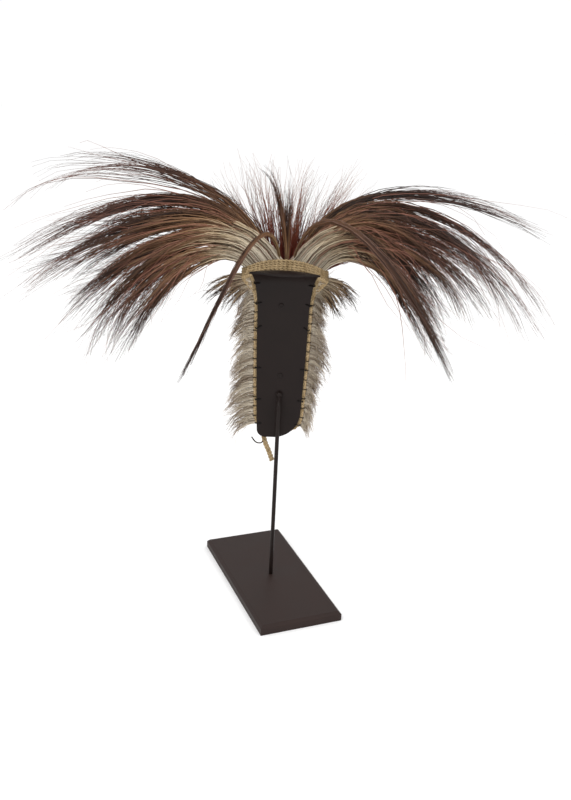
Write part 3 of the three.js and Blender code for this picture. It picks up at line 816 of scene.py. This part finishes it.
def mount_plate():
    """The curved plate: a shallow trough, round at its lower corners, its upper lip rolled forward."""
    corner, columns = PLATE["corner_right"], PLATE_GRID["columns"]
    round_end = corner * (1 - np.cos(np.linspace(0, math.pi / 2, PLATE_GRID["corner_rows"])))
    rest = np.linspace(corner + PLATE_GRID["after_corner"], PLATE_LENGTH, PLATE_GRID["rows"])
    stations = np.concatenate([round_end, rest])
    points = []
    for station in stations:
        left, right = plate_edge(station, -1), plate_edge(station, 1)
        bulge = LIP["bulge"] * smoothstep(station, LIP["start"], PLATE_LENGTH)
        for across in np.linspace(left, right, columns):
            drop = bulge * (across / plate_half(station)) ** 2
            points.append(on_plate(station - drop, across, PLATE["thickness"] / 2))
    made = mesh_object("mount_plate", points, grid_faces(len(stations), columns))
    solid = made.modifiers.new("thickness", "SOLIDIFY")
    solid.thickness = PLATE["thickness"] * MM
    solid.offset = 0
    solid.use_even_offset = True
    soften_edges(made, **PLATE_EDGE)
    made.data.materials.append(PLATE_PAINT)
    place(made, "painted_mount", "mount")


def mount_rod():
    """The rod from the foot up, its elbow, and the ball that it is soldered to the plate with."""
    bend = np.array([0, 0, ROD["bend_height"]])
    knob = on_plate(KNOB["station"], 0, -KNOB["lift"])
    below = bend - [0, 0, ROD["bend_run"]]
    beyond = bend + unit(knob - bend) * ROD["bend_run"]
    t = np.linspace(0, 1, ROD_STEPS["elbow"])[:, None]
    elbow = (1 - t) ** 2 * below + 2 * (1 - t) * t * bend + t**2 * beyond
    straight = np.linspace([0, 0, ROD["foot"]], below, ROD_STEPS["straight"])[:-1]
    path = np.vstack([straight, elbow, np.linspace(beyond, knob, ROD_STEPS["beyond"])[1:]])
    turns = np.linspace(0, math.pi, ROD_STEPS["ball"])[1:-1]
    ball = [(-KNOB["radius"] * math.cos(turn), KNOB["radius"] * math.sin(turn)) for turn in turns]
    axis = unit(knob - on_plate(KNOB["station"], 0, 0))
    parts = [tube(path, ROD["radius"], METAL_SIDES), turned(ball, knob, axis, METAL_SIDES)]
    made = mesh_object("mount_rod", *joined(parts))
    face_outwards(made)
    made.data.materials.append(PLATE_PAINT)
    place(made, "painted_mount", "mount")


def rivet_head(name, station, across):
    """A pressed rivet head: a raised ring round a hollow."""
    seat = on_plate(station, across, -RIVET_LIFT)
    axis = unit(on_plate(station, across, -1) - on_plate(station, across, 0))
    made = mesh_object(name + "_head", *turned(RIVET_SECTION, seat, axis, METAL_SIDES))
    face_outwards(made)
    made.data.materials.append(PLATE_PAINT)
    place(made, "painted_mount", name)


stand_foot()
mount_plate()
mount_rod()
for rivet, (rivet_station, rivet_across) in RIVETS.items():
    rivet_head(rivet, rivet_station, rivet_across)


# Twined base

def mat_loop(inset, out):
    """A closed ring of points round the mat, set in from its edge, its corners eased."""
    rows = np.linspace(MAT_ENDS["tail"] + inset, MAT_ENDS["crown"] - inset, MAT_GRID["rows"])
    left = [(row, -mat_half(row, inset)) for row in rows]
    right = [(row, -across) for row, across in reversed(left)]
    crown_half, tail_half = right[0][1], right[-1][1]
    crown = [
        (rows[-1], across) for across in np.linspace(-crown_half, crown_half, MAT_GRID["crown"])[1:-1]]
    tail = [(rows[0], across) for across in np.linspace(tail_half, -tail_half, MAT_GRID["tail"])[1:]]
    route = np.array([on_mat(row, across, out) for row, across in left + crown + right + tail])
    length = np.linalg.norm(np.diff(route, axis=0), axis=1).sum()
    loop = evenly(route, max(int(length / CORD["spacing"]), MAT_GRID["least"]))[:-1]
    shifts = range(-LOOP_EASE, LOOP_EASE + 1)
    return np.mean([np.roll(loop, shift, axis=0) for shift in shifts], axis=0)


def cord_loops(name, loops):
    """Twined cords along closed rings of points."""
    points, edges, offset = [], [], 0
    for loop in loops:
        edges += [(offset + k, offset + (k + 1) % len(loop)) for k in range(len(loop))]
        points.append(loop)
        offset += len(loop)
    mesh = bpy.data.meshes.new(name)
    mesh.from_pydata((np.vstack(points) * MM).tolist(), edges, [])
    return grown(name, scene_object(name + "_loops", mesh), CORD_TREE, {
        "Twist": CORD["twist"] * MM, "Radius": CORD["radius"] * MM, "Flat": CORD["flat"],
        "Sides": CORD["sides"], "Material": TAN_CORD})


def twined_base():
    """Cords in rings: two stacked columns for the rim, then one layer inwards over the mat's core."""
    radius, apart = CORD["radius"], CORD["apart"]
    outs = np.linspace(MAT_OUT + radius, RIM_OUT - radius, RIM_ROWS)
    rim = [mat_loop(apart / 2 + column * apart, out) for column in range(2) for out in outs]
    level = MAT_OUT + MAT["thickness"] - radius
    floor = [mat_loop(apart / 2 + (column + 2) * apart, level) for column in range(FLOOR_CORDS)]
    place(cord_loops("twined_base", rim + floor), "tan_fibre", "woven_base")


def base_core():
    """The close-woven mat under the cords."""
    inset, columns = CORD["radius"], MAT_GRID["core_columns"]
    rows = np.linspace(MAT_ENDS["tail"] + inset, MAT_ENDS["crown"] - inset, MAT_GRID["core_rows"])
    points = [
        on_mat(row, across, MAT_OUT + MAT["thickness"] / 2)
        for row in rows for across in np.linspace(-mat_half(row, inset), mat_half(row, inset), columns)]
    made = mesh_object("base_core", points, grid_faces(len(rows), columns))
    solid = made.modifiers.new("thickness", "SOLIDIFY")
    solid.thickness = (MAT["thickness"] - 2 * GAP) * MM
    solid.offset = 0
    made.data.materials.append(TAN_CORD)
    place(made, "tan_fibre", "woven_base")


def base_stitches():
    """Dark stitches that pass round the edge cord, in a row up each side."""
    reach = CORD["radius"] + STITCH["radius"]
    stations = np.arange(MAT_ENDS["tail"] + MAT_ENDS["corner"], MAT["flare_start"], STITCH["apart"])
    turns = np.linspace(-STITCH["past"], math.pi + STITCH["past"], STITCH["steps"])
    parts = []
    for station in stations:
        for side in (-1, 1):
            middle = mat_half(station) - CORD["apart"] / 2
            path = [
                on_mat(station, side * (middle + reach * math.cos(turn)),
                       MAT_OUT + CORD["radius"] - reach * math.sin(turn))
                for turn in turns]
            parts.append(tube(path, STITCH["radius"], STITCH["sides"]))
    made = mesh_object("base_stitches", *joined(parts))
    made.data.materials.append(BLACK_THREAD)
    place(made, "tan_fibre")


def plate_ties():
    """Threads that come out of the plate's holes, cross to its edge and pass round behind it."""
    parts = []
    for station, slant in zip(TIE_STATIONS, TIE_SLANTS):
        for side in (-1, 1):
            edge = plate_half(station)
            route = [
                on_plate(station, side * (edge - TIE["inset"]), TIE_BENDS["hole"]),
                on_plate(station, side * (edge - TIE["inset"] * TIE_BENDS["turn"]), -TIE["rise"]),
                on_plate(station - slant, side * (edge - TIE_BENDS["edge"]), -TIE["rise"]),
                on_plate(station - slant, side * (edge + TIE["over"]), 0),
                on_plate(station - slant, side * (edge + TIE["over"]), MAT_OUT),
            ]
            parts.append(tube(smooth_route(route, TIE["steps"]), TIE["radius"], TIE["sides"]))
    made = mesh_object("plate_ties", *joined(parts))
    made.data.materials.append(BLACK_THREAD)
    place(made, "tan_fibre")


def tail_thong():
    route = smooth_route(THONG_ROUTE, THONG["steps"])
    made = mesh_object("tail_thong", *tube(route, THONG["radius"], THONG["sides"]))
    made.data.materials.append(THONG_HIDE)
    place(made, "tan_fibre")


CORD_TREE = twined_cord_tree()
twined_base()
base_core()
base_stitches()
plate_ties()
tail_thong()


# Hair

def fan_object(name, points, off):
    """A fan's surface from its points [v][u], with each point's place on it and its half depth."""
    rows, columns = points.shape[:2]
    made = mesh_object(name + "_fan", points.reshape(-1, 3), grid_faces(rows, columns))
    v, u = np.meshgrid(np.linspace(0, 1, rows), np.linspace(0, 1, columns), indexing="ij")
    set_vectors(made, "fan", np.stack([u, v, 0 * u], axis=-1))
    set_vectors(made, "off", off * MM)
    return made


def fan_over(name, guides, half):
    """A fan skinned over guide curves, its half depth bowed from the roots to the tips."""
    points = np.array([bezier(row_between(guides, v), FAN_COLUMNS) for v in np.linspace(0, 1, FAN_ROWS)])
    normals = unit(np.cross(np.gradient(points, axis=1), np.gradient(points, axis=0)))
    return fan_object(name, points, normals * bow(half, np.linspace(0, 1, FAN_COLUMNS))[None, :, None])


def fan_round(name, handles, radii):
    """A narrow fan along one curve, as wide as it is deep, for a single lock."""
    path = bezier(handles, FAN_COLUMNS)
    across, up = carried_frames(path)[1:]
    reach = bow(radii, np.linspace(0, 1, FAN_COLUMNS))[:, None]
    v = np.linspace(-1, 1, FAN_ROWS)[:, None, None]
    return fan_object(name, path + v * (across * reach), np.repeat((up * reach)[None], FAN_ROWS, axis=0))


def lock_handles(root, heading, reach, lift, bend, tip):
    """A lock's four handles from its root, heading out and turning over."""
    turn = math.radians(heading)
    out = np.array([math.cos(turn), math.sin(turn), 0]) * reach
    up = np.array([0, 0, 1.0])
    steps = ((LIFT_SHARE, lift), (BEND_SHARE, bend), (1, tip))
    return [root] + [root + out * share + up * height for share, height in steps]


def crown_root(across):
    return on_plate(crown_line(across, MAT["rim_width"] / 2), across, RIM_OUT)


def crown_lock(across, *lock, back=0):
    return lock_handles(crown_root(across) + np.array([0, back, 0]), *lock)


def under_lock(side, reach_share, station, heading, reach, *heights):
    root = on_plate(station, side * mat_half(station), UNDER_OUT)
    return lock_handles(root, heading if side > 0 else 180 - heading, reach * reach_share, *heights)


def straight_guide(root, direction, length, fall):
    """A guide that runs straight and falls towards its tip."""
    shares = np.array([0, 1 / 3, 2 / 3, 1])[:, None]
    return root + unit(direction) * length * shares - np.array([0, 0, fall]) * shares**2


def back_fan(name, side, fall, rows, half):
    """Hair on the back: off the mat or its side rims."""
    guides = []
    for station, length, tilt in rows:
        out = (RIM_OUT if side else MAT_OUT + MAT["thickness"]) + GAP
        root = on_plate(station, side * (mat_half(station) - MAT["rim_width"] / 2), out)
        angle = profile_at(station)[2] + math.radians(tilt)
        direction = np.array([side * CREST_SPREAD, math.cos(angle), math.sin(angle)])
        guides.append(straight_guide(root, direction, length, fall))
    return fan_over(name, guides, half)


def bristle_fan(name):
    """Thin hair behind the crown that leans outwards further from the middle."""
    guides = []
    for share in np.linspace(-1, 1, BRISTLES["guides"]):
        lean = math.radians(BRISTLES["lean"]) * share
        root = crown_root(share * BRISTLES["half"]) + np.array(BRISTLE_ROOT)
        direction = np.array([math.sin(lean), BRISTLES["back"], math.cos(lean)])
        guides.append(straight_guide(root, direction, BRISTLES["length"], BRISTLES["fall"] * abs(share)))
    return fan_over(name, guides, BRISTLE_HALF)


def fringe_fan(name, side):
    """The fan of a side fringe: out from the mat's edge and down."""
    reaches = FRINGE_REACH["left" if side < 0 else "right"]
    points, off = [], []
    for station in np.linspace(FRINGE_REACH["station"][0], FRINGE_REACH["station"][-1], FAN_ROWS):
        reach = float(np.interp(station, FRINGE_REACH["station"], reaches))
        flare = smoothstep(station, MAT["flare_start"], MAT_ENDS["crown"])
        inset = MAT["flare"] * flare * FRINGE_TOP["cover"]
        row = []
        for share in np.linspace(0, 1, FAN_COLUMNS):
            across = side * (mat_half(station) - GAP + share * reach - (1 - share) * inset)
            low = FRINGE["root_low"] + share * (FRINGE["tip_low"] - FRINGE["root_low"])
            high = FRINGE["root_high"] + share * (FRINGE["tip_high"] - FRINGE["root_high"])
            low -= math.sqrt(flare) * (1 - share) * FRINGE_TOP["forward"]
            place_up = station - FRINGE["droop"] * share**FRINGE["bend"]
            row.append([on_plate(place_up, across, low), on_plate(place_up, across, high)])
        points.append([(low + high) / 2 for low, high in row])
        off.append([(high - low) / 2 for low, high in row])
    return fan_object(name, np.array(points), np.array(off))


HAIR_TREE = hair_tree()
SIDES = {"left": -1, "right": 1}
# The settings that hair() takes in millimetres, and its usual ones. Strands are drawn fewer and
# thicker than real hair, so that they show
HAIR_LENGTHS = ("Wander", "Frizz", "Stray Reach", "Radius")
HAIR = {
    "Rings": 8, "Wisps": 4.0, "Gather": 0.6, "Wisp Gather": 0.7, "Lock Reach": 0.85, "Frizz": 4.0,
    "Strays": 0.04, "Stray Reach": 60.0, "Radius": 0.28, "Tip": 0.3, "Thin Share": 0.5,
    "Thin Edge": 0.5, "Dark Top": 0.0,
}


def hair(node, fan, material, slot, **settings):
    """Strands grown on a fan, which stand for a solid of the frame."""
    name = fan.name.replace("_fan", "_hair")
    inputs = HAIR | {key.replace("_", " "): value for key, value in settings.items()}
    for key in HAIR_LENGTHS:
        inputs[key] *= MM
    place(grown(name, fan, HAIR_TREE, inputs | {"Material": material}), slot, node)


def plume_hair():
    """Each plume's brown band, and the paler sheet of shorter hair in front of it."""
    for number, (name, rows) in enumerate(PLUMES.items()):
        fan = fan_over(name, [crown_lock(*row, back=PLUME_BACK) for row in rows], PLUME_HALF)
        hair(name, fan, PLUME_HAIR, "guard_hair", Strands=900, Rings=12, Seed=3 + number, Locks=12.0,
             Gather=0.96, Shortest=0.58, Lock_Reach=0.92, Wander=70.0, Frizz=16.0, Strays=0.12,
             Stray_Reach=130.0, Thin_Share=0.08, Thin_Edge=THIN_EDGE[name], Dark_Top=0.35)
        fan = fan_over(name + "_front", [crown_lock(*row) for row in FRONT_ROWS[name]], PLUME_HALF)
        hair(name, fan, PLUME_HAIR, "guard_hair", Strands=800, Rings=12, Seed=6 + number, Locks=10.0,
             Wisps=3.4, Gather=0.95, Wisp_Gather=0.85, Shortest=0.55, Lock_Reach=0.9, Wander=60.0,
             Frizz=14.0, Strays=0.08, Stray_Reach=90.0, Radius=0.34, Tip=0.25)


def lock_hair():
    """The two locks that cross in front, the tuft between the plumes, and the wisp that curls off it."""
    for number, (name, row) in enumerate(LOCKS.items()):
        fan = fan_round(name, crown_lock(*row), LOCK_RADII[name])
        hair(name, fan, LOCK_HAIR, "guard_hair", Strands=LOCK_STRANDS[name], Rings=12, Seed=11 + number,
             Locks=3.0, Shortest=LOCK_SHORTEST[name], Lock_Reach=1.0, Wander=14.0, Strays=0.05,
             Stray_Reach=40.0, Radius=0.25)
    fan = fan_round("tuft_wisp", crown_lock(*TUFT_WISP), TUFT_WISP_RADII)
    hair("centre_tuft", fan, LOCK_HAIR, "guard_hair", Strands=60, Rings=12, Seed=15, Locks=3.0,
         Shortest=0.5, Wander=14.0, Radius=0.24)


def under_hair():
    """The short hair with dark tips under the plumes."""
    for number, (name, (side, reach_share)) in enumerate(UNDER_SIDES.items()):
        fan = fan_over(name, [under_lock(side, reach_share, *row) for row in UNDER_ROWS], UNDER_HALF)
        hair(name, fan, UNDER_HAIR, "tipped_hair", Strands=300, Seed=21 + number, Locks=12.0,
             Shortest=0.4, Lock_Reach=0.7, Wander=14.0, Frizz=9.0, Radius=0.22)


def fringe_hair():
    """The short pale hair down both sides."""
    for number, (side_name, side) in enumerate(SIDES.items()):
        name = "fringe_" + side_name
        hair(name, fringe_fan(name, side), FRINGE_HAIR, "pale_hair", Strands=3000, Rings=6,
             Seed=31 + number, Locks=34.0, Wisps=3.0, Gather=0.3, Wisp_Gather=0.5, Shortest=0.35,
             Lock_Reach=0.65, Wander=9.0, Frizz=14.0, Strays=0.16, Stray_Reach=34.0, Radius=0.17)


def crest_hair():
    """The guard hair that stands off the back of both rims."""
    for number, (side_name, side) in enumerate(SIDES.items()):
        name = "crest_" + side_name
        fan = back_fan(name, side, CREST_FALL, CREST_ROWS, CREST_HALF)
        hair(name, fan, PLUME_HAIR, "guard_hair", Strands=1400, Seed=41 + number, Locks=22.0,
             Gather=0.45, Shortest=0.45, Wander=24.0, Frizz=12.0)


def inner_hair():
    """The dyed row down the middle of the back, and the thin hair that stands behind the crown."""
    fan = back_fan("inner_hair", 0, INNER_FALL, INNER_ROWS, INNER_HALF)
    hair("inner_hair", fan, DYED_HAIR, "dyed_hair", Strands=900, Rings=7, Seed=51, Locks=14.0,
         Gather=0.5, Shortest=0.5, Wander=20.0, Frizz=10.0)
    hair("inner_hair", bristle_fan("bristle"), DYED_HAIR, "dyed_hair", Strands=1200, Rings=7, Seed=52,
         Locks=30.0, Wisps=3.0, Gather=0.2, Wisp_Gather=0.4, Shortest=0.3, Lock_Reach=0.7, Wander=30.0,
         Frizz=22.0, Strays=0.08, Stray_Reach=50.0, Radius=0.16, Tip=0.35)


plume_hair()
lock_hair()
under_hair()
fringe_hair()
crest_hair()
inner_hair()


# Light and floor

# Each light's place, size and watts, and the point that they aim at, in metres
LIGHTS = {"soft box": ((-0.7, -0.9, 1.5), 1.0, 10), "fill": ((1.0, -0.6, 1.2), 1.0, 4)}
LIGHT_AIM = (0, 0, 0.25)
ROOM_STRENGTH = 1.02
FLOOR_HALF = 4000


def studio():
    """Two soft boxes in a white room, over a matt white paper floor that runs out of sight."""
    scene = bpy.context.scene
    scene.view_settings.view_transform = "Standard"
    world = bpy.data.worlds.new("white studio")
    world.use_nodes = True
    scene.world = world
    background = world.node_tree.nodes["Background"]
    background.inputs["Color"].default_value = (1, 1, 1, 1)
    background.inputs["Strength"].default_value = ROOM_STRENGTH
    for name, (place_at, size, watts) in LIGHTS.items():
        light = scene_object(name, bpy.data.lights.new(name, "AREA"))
        light.data.size = size
        light.data.energy = watts
        light.location = place_at
        aim = Vector(place_at) - Vector(LIGHT_AIM)
        light.rotation_euler = aim.to_track_quat("Z", "Y").to_euler()
    corners = [(x * FLOOR_HALF, y * FLOOR_HALF, 0) for x, y in ((-1, -1), (1, -1), (1, 1), (-1, 1))]
    floor = mesh_object("floor", corners, [(0, 1, 2, 3)])
    made, tree = new_material("white paper floor")
    shader = add(tree, "ShaderNodeBsdfPrincipled", {
        "Base Color": linear("#fdfdfd"), "Roughness": 0.9, "Specular IOR Level": 0.1})
    add(tree, "ShaderNodeOutputMaterial", shader)
    floor.data.materials.append(made)


studio()
